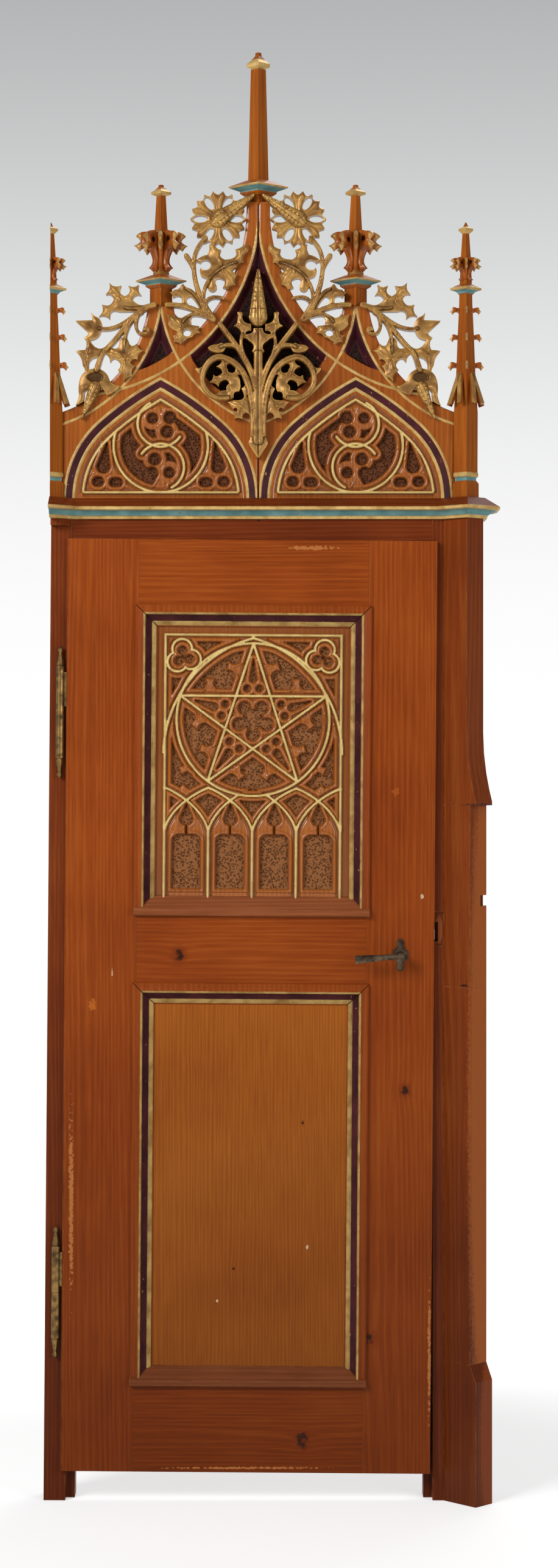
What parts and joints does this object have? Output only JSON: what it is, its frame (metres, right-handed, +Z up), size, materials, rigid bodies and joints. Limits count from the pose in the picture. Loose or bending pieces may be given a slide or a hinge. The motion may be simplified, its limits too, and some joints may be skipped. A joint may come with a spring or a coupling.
{
  "type": "panelled door in a carved frame",
  "caption": "Gothic revival room door: a lipped pine leaf with a carved tracery panel, hung in a frame under a crested cornice with lunettes, ogee gables and pinnacles.",
  "frame": {"origin": "on the floor under the middle of the overall width, in the plane of the jambs' front faces", "axes": "+X to the lock side as seen from the front, +Y into the wall, +Z up"},
  "size_m": [0.9358, 0.1701, 2.976],
  "materials": {
    "varnished_pine": "worn satin varnish",
    "carved_pine": "carved, with gilt fillets and a stippled ground",
    "gilt_carving": "aged gilding",
    "aged_brass": "worn, dark in the middle",
    "dark_bronze": "dark patina, rubbed edges",
    "lock_steel": "dull"
  },
  "bodies": {
    "frame": {"left_jamb": "varnished_pine", "right_jamb": "varnished_pine", "frame_head": "varnished_pine", "right_post_upper": "varnished_pine", "right_post_middle": "varnished_pine", "right_post_lower": "varnished_pine", "right_plinth": "varnished_pine", "left_post_stub": "varnished_pine", "cornice": "varnished_pine", "cresting_board_left": "varnished_pine", "cresting_board_right": "varnished_pine", "centre_abacus": "varnished_pine", "centre_spire": "varnished_pine", "mid_abacus_left": "varnished_pine", "mid_abacus_right": "varnished_pine", "mid_spire_left": "varnished_pine", "mid_spire_right": "varnished_pine", "outer_pinnacle_left": "varnished_pine", "outer_pinnacle_right": "varnished_pine", "lunette_panel_left": "carved_pine", "lunette_panel_right": "carved_pine", "centre_foliage_left": "gilt_carving", "centre_foliage_right": "gilt_carving", "inner_foliage_left": "gilt_carving", "inner_foliage_right": "gilt_carving", "outer_foliage_left": "gilt_carving", "outer_foliage_right": "gilt_carving", "mid_crown_left": "gilt_carving", "mid_crown_right": "gilt_carving", "upper_hinge_jamb_half": "aged_brass", "lower_hinge_jamb_half": "aged_brass", "upper_hinge_pin": "aged_brass", "lower_hinge_pin": "aged_brass"},
    "leaf": {"hinge_stile": "varnished_pine", "lock_stile": "varnished_pine", "top_rail": "varnished_pine", "lock_rail": "varnished_pine", "bottom_rail": "varnished_pine", "lower_panel": "varnished_pine", "upper_moulding_left": "varnished_pine", "upper_moulding_right": "varnished_pine", "upper_moulding_top": "varnished_pine", "upper_sill": "varnished_pine", "lower_moulding_left": "varnished_pine", "lower_moulding_right": "varnished_pine", "lower_moulding_top": "varnished_pine", "lower_sill": "varnished_pine", "upper_panel": "carved_pine", "upper_hinge_door_half": "aged_brass", "lower_hinge_door_half": "aged_brass", "rose_front": "dark_bronze", "rose_back": "dark_bronze", "rose_screws": "dark_bronze", "lock_case": "lock_steel", "lock_forend": "lock_steel"},
    "lever": {"lever_front": "dark_bronze", "lever_back": "dark_bronze", "spindle": "lock_steel", "follower": "lock_steel"},
    "latch": {"latch_bolt": "lock_steel"}
  },
  "joints": [
    {"name": "leaf_swing", "type": "hinge", "parent": "frame", "child": "leaf", "pos_m": [-0.44597, -0.0095, 0.99986], "axis": [-0.0079, 0, -1], "range_deg": [0, 110]},
    {"name": "lever_turn", "type": "hinge", "parent": "leaf", "child": "lever", "pos_m": [0.256, 0, 1.12135], "axis": [0, -1, 0], "range_deg": [0, 40], "stiffness_Nm_per_rad": 1, "springref_deg": -20.05},
    {"name": "latch_slide", "type": "slide", "parent": "leaf", "child": "latch", "axis": [-1, 0, 0.0079], "range_m": [0, 0.0126]}
  ],
  "couplings": [
    {"joint": "latch_slide", "follows": "lever_turn", "m_per_rad": 0.018}
  ]
}
